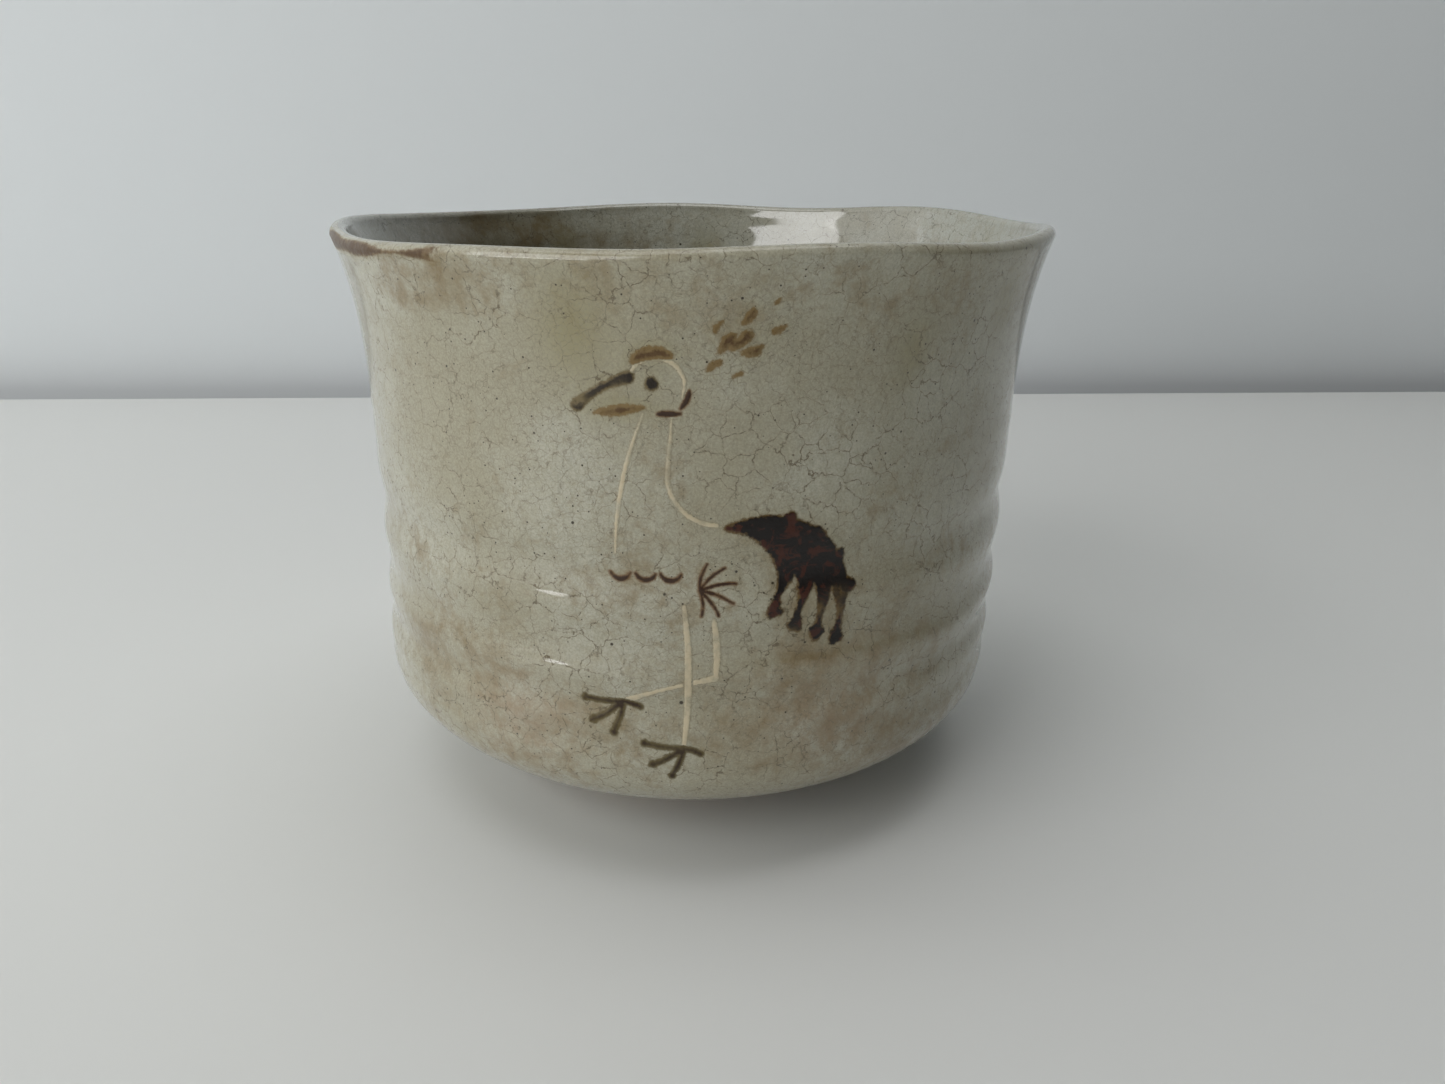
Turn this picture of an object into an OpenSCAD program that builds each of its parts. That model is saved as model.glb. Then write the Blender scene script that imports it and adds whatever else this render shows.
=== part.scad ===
// Tea bowl of the half-cylinder kind: a thrown stoneware body on a turned foot ring,
// glazed inside and out, with a standing crane drawn on its front in slip and iron.
// The bowl stands on z = 0, its axis is Z, and the crane faces -X on the -Y side.

/* [Bowl] */
// Widest diameter, across the lip
rim_d = 113; // [110:1:118]
// Height from the foot to the crest of the lip
bowl_h = 92; // [88:1:96]
// Radius of the upright part of the wall
waist_r = 52.9; // [51:0.1:54]
// Height above the foot at which the wall starts to flare
flare_z = 55; // [48:1:60]
// Height above the foot at which the belly starts to turn in
belly_z = 22; // [20:1:26]
// Height at which the belly meets the foot ring
belly_base_z = 6.5; // [6:0.5:8]

/* [Wall] */
// Thickness of the wall at the lip
lip_t = 2.6; // [2.2:0.1:3.2]
// Thickness of the wall above the belly
wall_t = 4.4; // [3.6:0.1:5]
// Thickness of the floor
floor_t = 6; // [5:0.5:8]
// Thickness of each coat of glaze
glaze_t = 0.4; // [0.3:0.05:0.6]

/* [Throwing grooves] */
// Depth of the finger grooves round the wall
groove_depth = 0.55; // [0.2:0.05:0.8]
// Height of the uppermost groove
groove_z = 49.5; // [46:0.5:52]
// Distance from one groove to the next
groove_pitch = 11; // [9:0.5:12]
// Number of grooves
groove_count = 3; // [1:1:3]

/* [Foot ring] */
// Outer radius of the foot ring where it stands
foot_r = 27; // [24:0.5:28]
// Width of the flat that it stands on
foot_w = 4; // [3:0.5:5]
// Outward lean of the foot ring at its root
foot_lean = 1.2; // [0.5:0.1:1.6]

/* [Decoration] */
// Height of the slip lines above the glaze
slip_t = 0.25; // [0.2:0.05:0.4]
// Height of the iron strokes above the glaze
iron_t = 0.18; // [0.15:0.01:0.3]

/* [Crane] */
// Place of the hip, measured round the wall from the middle of the front
hip_s = 1; // [-4:0.5:4]
// Height of the hip above the foot of the bowl
hip_z = 47; // [46:0.5:48]
// Radius of the head
head_r = 3.6; // [3.2:0.1:3.8]
// Reach of the beak from the middle of the head
beak_reach = 10.5; // [9:0.5:12]
// Length of the leg it stands on
leg_len = 23; // [21:0.5:24]
// Length of the longest toe
toe_len = 5.5; // [4.5:0.5:6]
// Radius of the tail's outermost plume
plume_r = 13; // [11:0.5:14]

/* [Hidden] */
$fn = 96;

glaze_colour = "#c3bfae";
clay_colour = "#a38f74";
slip_colour = "#d8cfae";
iron_colour = "#3a1c0c";
wash_colour = "#8a6431";

rim_r = rim_d / 2;
lip_z = bowl_h - lip_t / 2;
root_r = foot_r + foot_lean;
flare_power = 3.3;
groove_w = 2.6;

function sum(list, i = 0) = i < len(list) ? list[i] + sum(list, i + 1) : 0;
function last(list) = list[len(list) - 1];
function reverse(list) = [for (i = [len(list) - 1 : -1 : 0]) list[i]];
// The points of a list moved by t along its normals, which point left of its run.
function run(list, i) = list[min(i + 1, len(list) - 1)] - list[max(i - 1, 0)];
function moved(list, t) = [for (i = [0 : len(list) - 1])
    let (r = run(list, i))
    list[i] + t * [-r[1], r[0]] / norm(r)];

// Outer face: an elliptical belly below, an upright grooved wall, and a flare to the lip.
// The glaze stops a little outside the foot ring, at this angle from the lowest point of the belly's ellipse.
glaze_edge_a = 10;
wall_steps = 34;
belly_steps = 12;
function groove(z) = groove_depth * sum([for (k = [0 : groove_count - 1])
    exp(-pow((z - groove_z + k * groove_pitch) / groove_w, 2))]);
function flare_at(z) = z > flare_z
    ? (rim_r - waist_r) * pow((z - flare_z) / (lip_z - flare_z), flare_power)
    : 0;
function wall_r(z) = waist_r + flare_at(z) - groove(z);
belly_pts = [for (i = [0 : belly_steps - 1])
    let (a = glaze_edge_a + (90 - glaze_edge_a) * i / belly_steps)
    [root_r + (wall_r(belly_z) - root_r) * sin(a), belly_z - (belly_z - belly_base_z) * cos(a)]];
wall_pts = [for (i = [0 : wall_steps])
    let (z = belly_z + (lip_z - belly_z) * i / wall_steps)
    [wall_r(z), z]];
outer_pts = concat(belly_pts, wall_pts);

// The rounded crest of the lip, t below its face, between two angles about its centre.
// The crest runs from outside to inside, and the two coats of glaze meet at its top.
lip_centre = [rim_r - lip_t / 2, lip_z];
lip_steps = 8;
outside_a = 15;
top_a = 90;
inside_a = 165;
function crest(t, from, to) = [for (i = [0 : lip_steps])
    let (a = from + (to - from) * i / lip_steps)
    lip_centre + (lip_t / 2 - t) * [cos(a), sin(a)]];

// Inner face, from the lip down to a shallow pool in the middle of the floor.
inner_floor_z = belly_base_z + floor_t;
inner_corner = 17;
thicken_h = 26;
inner_steps = 22;
corner_steps = 10;
pool_r = 18;
pool_dip = 0.8;
pool_slope = 2;
function thickness(z) = lip_t + (wall_t - lip_t) * (1 - pow(1 - min(1, (lip_z - z) / thicken_h), 2));
inner_wall = [for (i = [1 : inner_steps])
    let (z = lip_z - (lip_z - inner_floor_z - inner_corner) * i / inner_steps)
    [waist_r + flare_at(z) - thickness(z), z]];
inner_corner_pts = [for (i = [1 : corner_steps])
    let (a = 90 * i / corner_steps)
    [last(inner_wall)[0] - inner_corner * (1 - cos(a)), inner_floor_z + inner_corner * (1 - sin(a))]];
pool_z = inner_floor_z - pool_dip;
pool_pts = [[pool_r, inner_floor_z], [pool_r - pool_slope, pool_z], [pool_slope, pool_z]];
inner_pts = concat(inner_wall, inner_corner_pts, pool_pts);
function to_axis(list) = concat(list, [[0, last(list)[1]]]);

// The clay between the two coats of glaze, with a flat underside above the foot ring.
module clay_body() {
    color(clay_colour)
        rotate_extrude()
            polygon(concat(
                [[0, belly_base_z], [root_r, belly_base_z]],
                moved(outer_pts, glaze_t),
                crest(glaze_t, outside_a, inside_a),
                to_axis(moved(inner_pts, glaze_t))
            ));
}

// The ring that the bowl stands on, turned from the same clay and left bare.
module foot_ring() {
    bevel = 0.8;
    inner_r = foot_r - foot_w;
    color(clay_colour)
        rotate_extrude()
            polygon([
                [inner_r + bevel, 0], [foot_r - bevel, 0], [foot_r, bevel],
                [root_r, belly_base_z], [inner_r - foot_lean, belly_base_z], [inner_r, bevel]
            ]);
}

// The outer coat, from just outside the foot ring up to the middle of the lip.
module outer_glaze() {
    color(glaze_colour)
        rotate_extrude()
            polygon(concat(
                outer_pts, crest(0, outside_a, top_a),
                reverse(crest(glaze_t, outside_a, top_a)), reverse(moved(outer_pts, glaze_t))
            ));
}

// The inner coat, from the middle of the lip down over the floor.
module inner_glaze() {
    color(glaze_colour)
        rotate_extrude()
            polygon(concat(
                crest(0, top_a, inside_a), to_axis(inner_pts),
                reverse(to_axis(moved(inner_pts, glaze_t))), reverse(crest(glaze_t, top_a, inside_a))
            ));
}

// A film of thickness t that lies on the outer face.
module film(t) {
    rotate_extrude()
        polygon(concat(outer_pts, reverse(moved(outer_pts, -t))));
}

// Carries a flat drawing, in (across, up) millimetres, from the bowl's axis out through the wall's front.
past_wall = 5;
module through_wall() {
    rotate([90, 0, 0])
        linear_extrude(height = rim_r + past_wall)
            children();
}

// Lays a flat drawing on the front of the wall, as a film of thickness t.
module on_wall(t) {
    intersection() {
        film(t);
        through_wall() children();
    }
}

// A distance measured round the wall, as seen from the front.
function across(s) = waist_r * sin(s / waist_r * 180 / PI);
function flat(points) = [for (p = points) [across(p[0]), p[1]]];

// A brush stroke: a smooth curve through a few points, given as [across, up, width].
stroke_steps = 4;
tip_half_a = 60;
tip_step_a = 30;
function spline(a, b, c, d, t) =
    0.5 * (2 * b + (c - a) * t + (2 * a - 5 * b + 4 * c - d) * t * t + (3 * b - a - 3 * c + d) * t * t * t);
function smoothed(p) = [for (i = [0 : len(p) - 2]) for (j = [0 : stroke_steps - (i < len(p) - 2 ? 1 : 0)])
    spline(p[max(i - 1, 0)], p[i], p[i + 1], p[min(i + 2, len(p) - 1)], j / stroke_steps)];
function side(list, sign) = [for (i = [0 : len(list) - 1])
    let (r = run(list, i))
    [list[i][0], list[i][1]] + sign * list[i][2] / 2 * [-r[1], r[0]] / norm([r[0], r[1]])];
// The round end of a stroke, on the side that its run points to.
function tip(list, i, way) =
    let (r = run(list, i), a0 = atan2(r[1], r[0]) + (way > 0 ? 0 : 180))
    [for (a = [-tip_half_a : tip_step_a : tip_half_a])
        [list[i][0], list[i][1]] + list[i][2] / 2 * [cos(a0 + a), sin(a0 + a)]];
function stroke_pts(p) =
    let (s = smoothed(p))
    concat(side(s, -1), tip(s, len(s) - 1, 1), reverse(side(s, 1)), tip(s, 0, -1));
module stroke(p) {
    polygon(flat(stroke_pts(p)));
}

// Ways to lay out a stroke. A width swells from its ends' to its middle's along t, from 0 to 1.
arc_parts = 5;
function swell(t, ends, middle) = ends + (middle - ends) * sin(180 * t);
function polar(from, length, a) = from + length * [cos(a), sin(a)];
function arc_stroke(centre, r, from, to, ends, middle) = [for (i = [0 : arc_parts])
    let (t = i / arc_parts, p = polar(centre, r, from + (to - from) * t))
    [p[0], p[1], swell(t, ends, middle)]];
// A stroke between two points that bows out to the left of its run by sag.
function bow_stroke(a, b, sag, ends, middle) = [for (i = [0 : arc_parts])
    let (t = i / arc_parts, d = b - a, p = a + d * t + 4 * sag * t * (1 - t) * [-d[1], d[0]] / norm(d))
    [p[0], p[1], swell(t, ends, middle)]];

// A dab of the brush: an ellipse with an uneven edge. Its lobes are turned by its place, so no two are alike.
module dab(x, z, rx, rz, turn = 0, uneven = 0.14) {
    lobes = 3;
    step = 20;
    lobe_turn = 40;
    polygon(flat([for (a = [0 : step : 360 - step])
        let (r = 1 + uneven * sin(lobes * a + lobe_turn * x), px = rx * r * cos(a), pz = rz * r * sin(a))
        [x + px * cos(turn) - pz * sin(turn), z + px * sin(turn) + pz * cos(turn)]]));
}

// An iron line that runs for part of the way round the lip's outer edge.
module rim_iron_line() {
    start = 194;
    sweep = 42;
    line_low = 2.4;
    line_pts = [for (p = outer_pts) if (p[1] > lip_z - line_low) p];
    color(wash_colour)
        rotate([0, 0, start])
            rotate_extrude(angle = sweep)
                polygon(concat(line_pts, reverse(moved(line_pts, -iron_t))));
}

// Landmarks of the crane. It faces left, stands on one leg and holds the other foot up in front.
hip = [hip_s, hip_z];
head = hip + [-4.4, 28];
beak_tip = polar(head, beak_reach, 195);
breast = hip + [-10, 5.5];
tail_root = hip + [4.8, 9.4];
knee_len = 8.5;
shin_len = 13.5;
standing_foot_at = polar(hip, leg_len, 268);
knee = polar(hip + [3.2, -3.6], knee_len, 272);
raised_foot_at = polar(knee, shin_len, 198);
// The feet are turned a little from level, the raised one further.
standing_turn = 4;
raised_turn = 9;
fine_w = 0.4;
slip_w = 0.75;
leg_w = 1.15;

// The slip lines: round head, long neck and thin legs.
module head_drawing() {
    stroke(arc_stroke(head, head_r, 165, -25, fine_w, slip_w));
}

module standing_leg_drawing() {
    stroke(bow_stroke(hip + [-0.8, -1.6], standing_foot_at, 0.6, slip_w, leg_w));
}

module head_outline() {
    color(slip_colour)
        difference() {
            on_wall(slip_t) head_drawing();
            through_wall() beak_drawing();
            through_wall() crown_drawing();
            through_wall() nape_drawing();
        }
}

module neck_front_line() {
    color(slip_colour)
        difference() {
            on_wall(slip_t) stroke(bow_stroke(head + [-1.6, -head_r], breast, -0.9, fine_w, slip_w));
            through_wall() wash_drawing();
            through_wall() nape_drawing();
        }
}

// The back of the neck drops from the nape and sweeps round a quarter circle to the tail.
module neck_back_line() {
    back_r = 6.6;
    sweep_centre = tail_root + [-1.2, back_r + 0.4];
    color(slip_colour)
        difference() {
            on_wall(slip_t)
                stroke(concat(
                    [concat(head + [2, -head_r - 0.4], fine_w)],
                    arc_stroke(sweep_centre, back_r, 172, 268, slip_w, slip_w)
                ));
            through_wall() nape_drawing();
            through_wall() tail_drawing();
        }
}

module standing_leg_line() {
    color(slip_colour)
        difference() {
            on_wall(slip_t) standing_leg_drawing();
            through_wall() thigh_drawing();
            through_wall() foot_drawing(standing_foot_at, standing_turn);
        }
}

module bent_leg_line() {
    color(slip_colour)
        difference() {
            on_wall(slip_t)
                union() {
                    stroke(bow_stroke(hip + [3.2, -3.6], knee, 0.3, slip_w, leg_w));
                    stroke(bow_stroke(knee, raised_foot_at, -0.4, leg_w, slip_w));
                }
            through_wall() standing_leg_drawing();
            through_wall() thigh_drawing();
            through_wall() foot_drawing(raised_foot_at, raised_turn);
        }
}

// Iron strokes and dabs.
module beak_drawing() {
    beak_end_w = 1.7;
    beak_w = 1;
    stroke(bow_stroke(beak_tip, polar(head, head_r, 162), 0.4, beak_end_w, beak_w));
}

module beak_stroke() {
    color(iron_colour)
        on_wall(iron_t) beak_drawing();
}

// The lower beak is a pale wash.
module wash_drawing() {
    wash_w = 1.4;
    stroke(bow_stroke(beak_tip + [2.4, -0.9], head + [-1.4, -2.7], 0, fine_w, wash_w));
}

module beak_wash() {
    color(wash_colour)
        on_wall(iron_t) wash_drawing();
}

module crown_drawing() {
    crown_w = 1.7;
    stroke(arc_stroke(head, head_r + 0.6, 130, 65, 1, crown_w));
}

module crown_patch() {
    color(wash_colour)
        on_wall(iron_t) crown_drawing();
}

module eye_dot() {
    color(iron_colour)
        on_wall(iron_t) dab(head[0] - 0.5, head[1] + 0.3, 0.85, 0.9, uneven = 0.04);
}

module nape_drawing() {
    nape_w = 0.8;
    stroke(arc_stroke(head, head_r + 0.6, -8, -42, fine_w, nape_w));
    stroke(bow_stroke(head + [0.2, -head_r + 0.1], head + [3, -head_r + 0.1], 0, fine_w, nape_w));
}

module nape_stroke() {
    color(iron_colour)
        on_wall(iron_t) nape_drawing();
}

// A drift of dabs that shrink outwards along a spiral, drawn out up and to the right.
module cloud(centre, count, biggest) {
    golden_a = 137.5;
    spacing = 1.5;
    lean = 35;
    for (k = [0 : count - 1])
        let (out = spacing * sqrt(k), a = golden_a * k, size = biggest * (1 - k / (count + 2)),
            x = out * 1.5 * cos(a), z = out * 0.9 * sin(a))
        dab(centre[0] + x * cos(lean) - z * sin(lean), centre[1] + x * sin(lean) + z * cos(lean),
            size, size * 0.45, lean + 20 * sin(a));
}

module cloud_marks() {
    color(wash_colour)
        on_wall(iron_t)
            union()
                cloud(head + [10.5, 5.5], 9, 1.7);
}

// The tail is a fan of drooping plumes that share a root. Each ends in a hanging tip, and each
// inner one is smaller.
plume_count = 4;
plume_step = 2.2;
plume_from_a = 105;
plume_w = 3.8;
function plume_radius(k) = plume_r - plume_step * k;
function plume_centre(k) = polar(tail_root, -plume_radius(k), plume_from_a);
function plume_end(k) = polar(plume_centre(k), plume_radius(k), -6 - 9 * k);
function plume_drop(k) = plume_end(k) + [-0.4, -2.6 + 0.3 * k];
module tail_drawing() {
    plume_tip_w = 1.8;
    for (k = [0 : plume_count - 1]) {
        stroke(concat(
            arc_stroke(plume_centre(k), plume_radius(k), plume_from_a, -6 - 9 * k, 0.9, plume_w),
            [concat(plume_drop(k), plume_tip_w)]
        ));
        dab(plume_drop(k)[0], plume_drop(k)[1] - 0.5, 1.1, 1.2);
    }
    // Feather tips that break the back's smooth edge.
    for (a = [70 : -19 : 13])
        let (p = polar(plume_centre(0), plume_r + plume_w * 0.4, a))
        dab(p[0], p[1], 1.1, 0.8, a - 90);
}

module tail_plumes() {
    color(iron_colour)
        on_wall(iron_t)
            union()
                tail_drawing();
}

// The breast feathers are a row of small scallops.
module breast_stroke() {
    scallop_count = 3;
    scallop_r = 1.5;
    scallop_pitch = 3.4;
    first_scallop = hip + [-9.4, 3.4];
    color(iron_colour)
        on_wall(iron_t)
            for (k = [0 : scallop_count - 1])
                let (centre = first_scallop + [scallop_pitch * k, 0])
                stroke(arc_stroke(centre, scallop_r, 205, 335, fine_w, slip_w));
}

// A tuft of short flicks that fan out from the thigh.
module thigh_drawing() {
    tuft_at = hip + [1.2, 0.6];
    flick_w = 0.45;
    for (k = [0 : 5])
        let (a = 75 - 32 * k, length = 3.4 + 1.6 * abs(cos(a)))
        stroke(bow_stroke(tuft_at, polar(tuft_at, length, a), 0.3, fine_w, flick_w));
}

module thigh_stroke() {
    color(iron_colour)
        on_wall(iron_t)
            union()
                thigh_drawing();
}

// A foot: three long toes that fan out in front of the knuckle, each with a blob at its end, and
// a short back toe.
module foot_drawing(knuckle, turn) {
    toe_w = 0.9;
    blob_r = 0.62;
    first_toe_a = 170;
    toe_spread = 38;
    back_toe_a = -25;
    back_toe_len = 2.6;
    for (k = [0 : 2])
        let (end = polar(knuckle, toe_len * (1 - 0.06 * k), first_toe_a + toe_spread * k + turn)) {
            stroke(bow_stroke(knuckle, end, 0.2, toe_w, toe_w));
            dab(end[0], end[1], blob_r, blob_r, uneven = 0.08);
        }
    stroke(bow_stroke(knuckle, polar(knuckle, back_toe_len, back_toe_a + turn), 0.1, toe_w, toe_w));
}

module raised_foot() {
    color(iron_colour)
        on_wall(iron_t)
            union()
                foot_drawing(raised_foot_at, raised_turn);
}

module standing_foot() {
    color(iron_colour)
        on_wall(iron_t)
            union()
                foot_drawing(standing_foot_at, standing_turn);
}

clay_body();
foot_ring();
outer_glaze();
inner_glaze();
rim_iron_line();
head_outline();
neck_front_line();
neck_back_line();
standing_leg_line();
bent_leg_line();
beak_stroke();
beak_wash();
crown_patch();
eye_dot();
nape_stroke();
cloud_marks();
tail_plumes();
breast_stroke();
thigh_stroke();
raised_foot();
standing_foot();
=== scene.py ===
"""The looks of a half-cylinder stoneware tea bowl: thrown clay, two coats of crackled glaze, and a crane
drawn on the front in slip and iron. Lengths in this script are millimetres until mesh_from() makes metres."""

import math

import bpy
import numpy as np
from mathutils import Matrix, Vector


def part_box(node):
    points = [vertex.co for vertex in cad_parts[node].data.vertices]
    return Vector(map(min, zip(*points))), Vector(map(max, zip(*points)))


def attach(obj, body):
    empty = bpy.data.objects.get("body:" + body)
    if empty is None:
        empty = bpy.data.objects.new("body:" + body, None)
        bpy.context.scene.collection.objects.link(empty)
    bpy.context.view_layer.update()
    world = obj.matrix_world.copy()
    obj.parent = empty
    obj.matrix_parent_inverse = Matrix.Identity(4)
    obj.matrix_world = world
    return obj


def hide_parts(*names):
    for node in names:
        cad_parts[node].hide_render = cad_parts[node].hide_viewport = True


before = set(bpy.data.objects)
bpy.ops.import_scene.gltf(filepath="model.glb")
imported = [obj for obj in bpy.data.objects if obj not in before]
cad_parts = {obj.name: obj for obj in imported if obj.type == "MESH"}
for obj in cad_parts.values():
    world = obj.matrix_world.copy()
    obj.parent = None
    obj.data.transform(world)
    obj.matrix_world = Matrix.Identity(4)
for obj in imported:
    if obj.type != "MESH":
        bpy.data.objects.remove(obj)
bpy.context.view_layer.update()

MM = 0.001
TAU = 2 * math.pi


# ---------------------------------------------------------------- sizes, from the frame

def box_mm(node):
    low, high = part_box(node)
    return np.array(low) / MM, np.array(high) / MM


glaze_high = box_mm("outer_glaze")[1]
foot_high = box_mm("foot_ring")[1]
inner_low = box_mm("inner_glaze")[0]

RIM_R = glaze_high[0]
TOP_Z = glaze_high[2]
ROOT_R = foot_high[0]
ROOT_Z = foot_high[2]
GLAZE_T = 0.4
FLOOR_Z = inner_low[2] + GLAZE_T
LIP_T = 2.6
WALL_T = 4.4
# The wall grows from LIP_T to WALL_T over this much height under the lip.
THICKEN_H = 26
WAIST_R = RIM_R * 0.936
FLARE_Z = TOP_Z * 0.6
BELLY_Z = 22.0
FLARE_POWER = 3.3
# The crest waves up and down, so its mean is a little under the CAD's level crest.
CREST_Z = TOP_Z - 0.6
LIP_Z = CREST_Z - LIP_T / 2


def smooth(low, high, x):
    t = np.clip((x - low) / (high - low), 0, 1)
    return t * t * (3 - 2 * t)


# ---------------------------------------------------------------- the thrown surface

# Waves of the rim's height and of the wall's roundness: (waves per turn, size, phase in degrees).
# The rim tilts, and ripples of one size run round it. The angle between one and the next keeps growing, so
# that they never line up.
RIM_TILT = 0.75
RIM_TILT_AT = 15
RIPPLE = 0.2
RIPPLE_TURN = 137.5
RIM_WAVES = [(1, RIM_TILT, RIM_TILT_AT)] + [(n, RIPPLE, RIPPLE_TURN * n * n) for n in range(3, 8)]
ROUND_WAVES = [(2, 0.28, 40), (3, 0.16, 200), (5, 0.09, 80)]
LIP_WAVES = [(4, 0.16, 20), (7, 0.12, 130), (9, 0.08, 250)]
# The fingers left one spiral groove. Each turn of it is a hollow, a steep bank under it, and a ridge.
GROOVE_START_Z = 51.6
GROOVE_FALL = 11.2
GROOVE_SKEW = 1.1
GROOVE_DEPTH = 0.64
LOW_PITCH_Z = 38.0
LOW_PITCH_SQUEEZE = 0.35
BANK_START, BANK_END = 0.0, 0.44
# Ledges low on the bank of the upper turns: (distance round the wall, half width, size).
LEDGES = [(-18.0, 6.5, 0.34), (42.0, 9.0, 0.15)]
LEDGE_TURNS = (0, 1)
LEDGE_PHASE = 0.35
LEDGE_H = 1.25


def waves(table, theta):
    return sum(size * np.cos(n * theta - math.radians(phase)) for n, size, phase in table)


def hollow_height(theta):
    """Height of the spiral's first turn."""
    turn = np.mod(-theta, TAU)
    return GROOVE_START_Z - GROOVE_FALL * turn / TAU + GROOVE_SKEW * (1 - np.cos(turn))


def ledge_height(s0, turn):
    """Height of a ledge, which lies at LEDGE_PHASE of the pitch under a turn's hollow."""
    level = hollow_height(s0 / WAIST_R - TAU / 4) - GROOVE_FALL * (turn + LEDGE_PHASE)
    if level > LOW_PITCH_Z:
        return level
    return (level + LOW_PITCH_SQUEEZE * LOW_PITCH_Z) / (1 + LOW_PITCH_SQUEEZE)


def groove(theta, z):
    """How far the finger spiral is pressed in at each point."""
    hollow_z = hollow_height(theta)
    squeezed = z + LOW_PITCH_SQUEEZE * np.minimum(z - LOW_PITCH_Z, 0)
    depth = 0
    blur = (-0.6, -0.3, 0, 0.3, 0.6)
    for shift in blur:
        phase = np.mod((hollow_z - squeezed + shift) / GROOVE_FALL, 1)
        depth = depth + (1 - smooth(BANK_START, BANK_END, phase) + smooth(BANK_END, 1, phase)) / len(blur)
    strength = smooth(60, 50, z) * smooth(19, 30, z) * (1 + 0.25 * np.cos(2 * theta + 1) * smooth(60, 40, z))
    return GROOVE_DEPTH * depth * strength


def wall_radius(z):
    t = np.clip((z - FLARE_Z) / (LIP_Z - FLARE_Z), 0, 1)
    return WAIST_R + (RIM_R - WAIST_R) * t ** FLARE_POWER


def thickness(z):
    down = np.clip((LIP_Z - z) / THICKEN_H, 0, 1)
    return LIP_T + (WALL_T - LIP_T) * (1 - (1 - down) ** 2)


def thrown(theta, r, z, grooved=1.0):
    """A point of the level, round profile, moved to where the uneven hand-thrown one has it."""
    up = smooth(FLARE_Z, LIP_Z, z)
    body = smooth(ROOT_Z, BELLY_Z, z)
    dr = body * waves(ROUND_WAVES, theta) + up * waves(LIP_WAVES, theta)
    # The belly sits a little towards -X, and the bottom of the wall is turned to a faint edge.
    dr = dr - 0.5 * np.cos(theta) * smooth(40, 20, z) * body
    edge = 0.2 * np.exp(-((z - 20.2 - 0.4 * np.sin(theta)) / 0.9) ** 2)
    dr = dr - grooved * (body * groove(theta, z) + edge)
    dr = dr + grooved * 0.1 * np.exp(-((z - 64 + np.cos(theta)) / 1.0) ** 2)
    round_the_wall = WAIST_R * np.mod(theta + TAU / 4 + TAU / 2, TAU) - WAIST_R * TAU / 2
    for s0, half_width, size in LEDGES:
        along = (round_the_wall - s0) / half_width
        for turn in LEDGE_TURNS:
            off = (z - ledge_height(s0, turn) + 0.03 * (round_the_wall - s0)) / LEDGE_H
            dr = dr - grooved * size * off * np.exp(-off ** 2 - along ** 2)
    dz = up * waves(RIM_WAVES, theta)
    return np.stack([(r + dr) * np.cos(theta), (r + dr) * np.sin(theta), z + dz], -1)


def arc(centre, radius, start, end, steps):
    a = np.radians(np.linspace(start, end, steps))
    return np.stack([centre[0] + radius * np.cos(a), centre[1] + radius * np.sin(a)], -1)


def outer_profile():
    """Rows of (r, z) from the belly beside the foot up to the lip's side."""
    a = np.radians(np.linspace(10, 90, 26))
    belly_r = ROOT_R + (WAIST_R - ROOT_R) * np.sin(a)
    belly_z = BELLY_Z - (BELLY_Z - ROOT_Z) * np.cos(a)
    z = np.concatenate([np.arange(BELLY_Z, 56, 0.42)[1:], np.linspace(56, LIP_Z, 40)])
    return np.concatenate([np.stack([belly_r, belly_z], -1), np.stack([wall_radius(z), z], -1)])


def inner_profile():
    """Rows of (r, z) from the lip's inner side down to near the middle of the floor."""
    corner = 17.0
    pool_r = 18.0
    pool_dip = 0.8
    z = np.linspace(LIP_Z, FLOOR_Z + pool_dip + corner, 60)[1:]
    wall = np.stack([wall_radius(z) - thickness(z), z], -1)
    bend = arc((wall[-1, 0] - corner, FLOOR_Z + pool_dip + corner), corner, 0, -90, 24)[1:]
    r = np.linspace(bend[-1, 0], 1.0, 26)[1:]
    floor = np.stack([r, FLOOR_Z + pool_dip * smooth(pool_r - 3, pool_r, r)], -1)
    return np.concatenate([wall, bend, floor])


def offset(rows, t):
    """The rows moved by t along their normals, to the left of their run."""
    run = np.gradient(rows, axis=0)
    normal = np.stack([-run[:, 1], run[:, 0]], -1)
    return rows + t * normal / np.linalg.norm(normal, axis=1, keepdims=True)


def lip_arc(t, start, end, steps=16):
    return arc((RIM_R - LIP_T / 2, LIP_Z), LIP_T / 2 - t, start, end, steps)


# ---------------------------------------------------------------- tints, as soft spots on the wall

TINTS = ("stain", "olive", "pink")
# Bands of spots: (tint, spots, lowest, highest, half width, half height, strength).
TINT_BANDS = [
    ("stain", 11, 16, 32, 17, 8, 0.75),
    ("stain", 9, 36, 62, 15, 11, 0.5),
    ("stain", 11, 81, 89, 19, 4.5, 0.75),
    ("olive", 8, 77, 84, 4, 6, 0.9),
    ("pink", 5, 24, 42, 12, 10, 0.6),
]
TINT_SEED = 7
WALL_TURN = TAU * WAIST_R


def scattered(bands, seed):
    """One spot in each share of the wall for every band, at a random place and size."""
    chance = np.random.default_rng(seed)
    spots = []
    for tint, count, lowest, highest, half_width, half_height, strength in bands:
        for share in range(count):
            s0 = WALL_TURN * (share + chance.uniform()) / count
            size = chance.uniform(0.6, 1.3)
            z0 = chance.uniform(lowest, highest)
            power = strength * chance.uniform(0.6, 1.2)
            spots.append((tint, s0, z0, half_width * size, half_height * size, power))
    return spots


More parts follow.
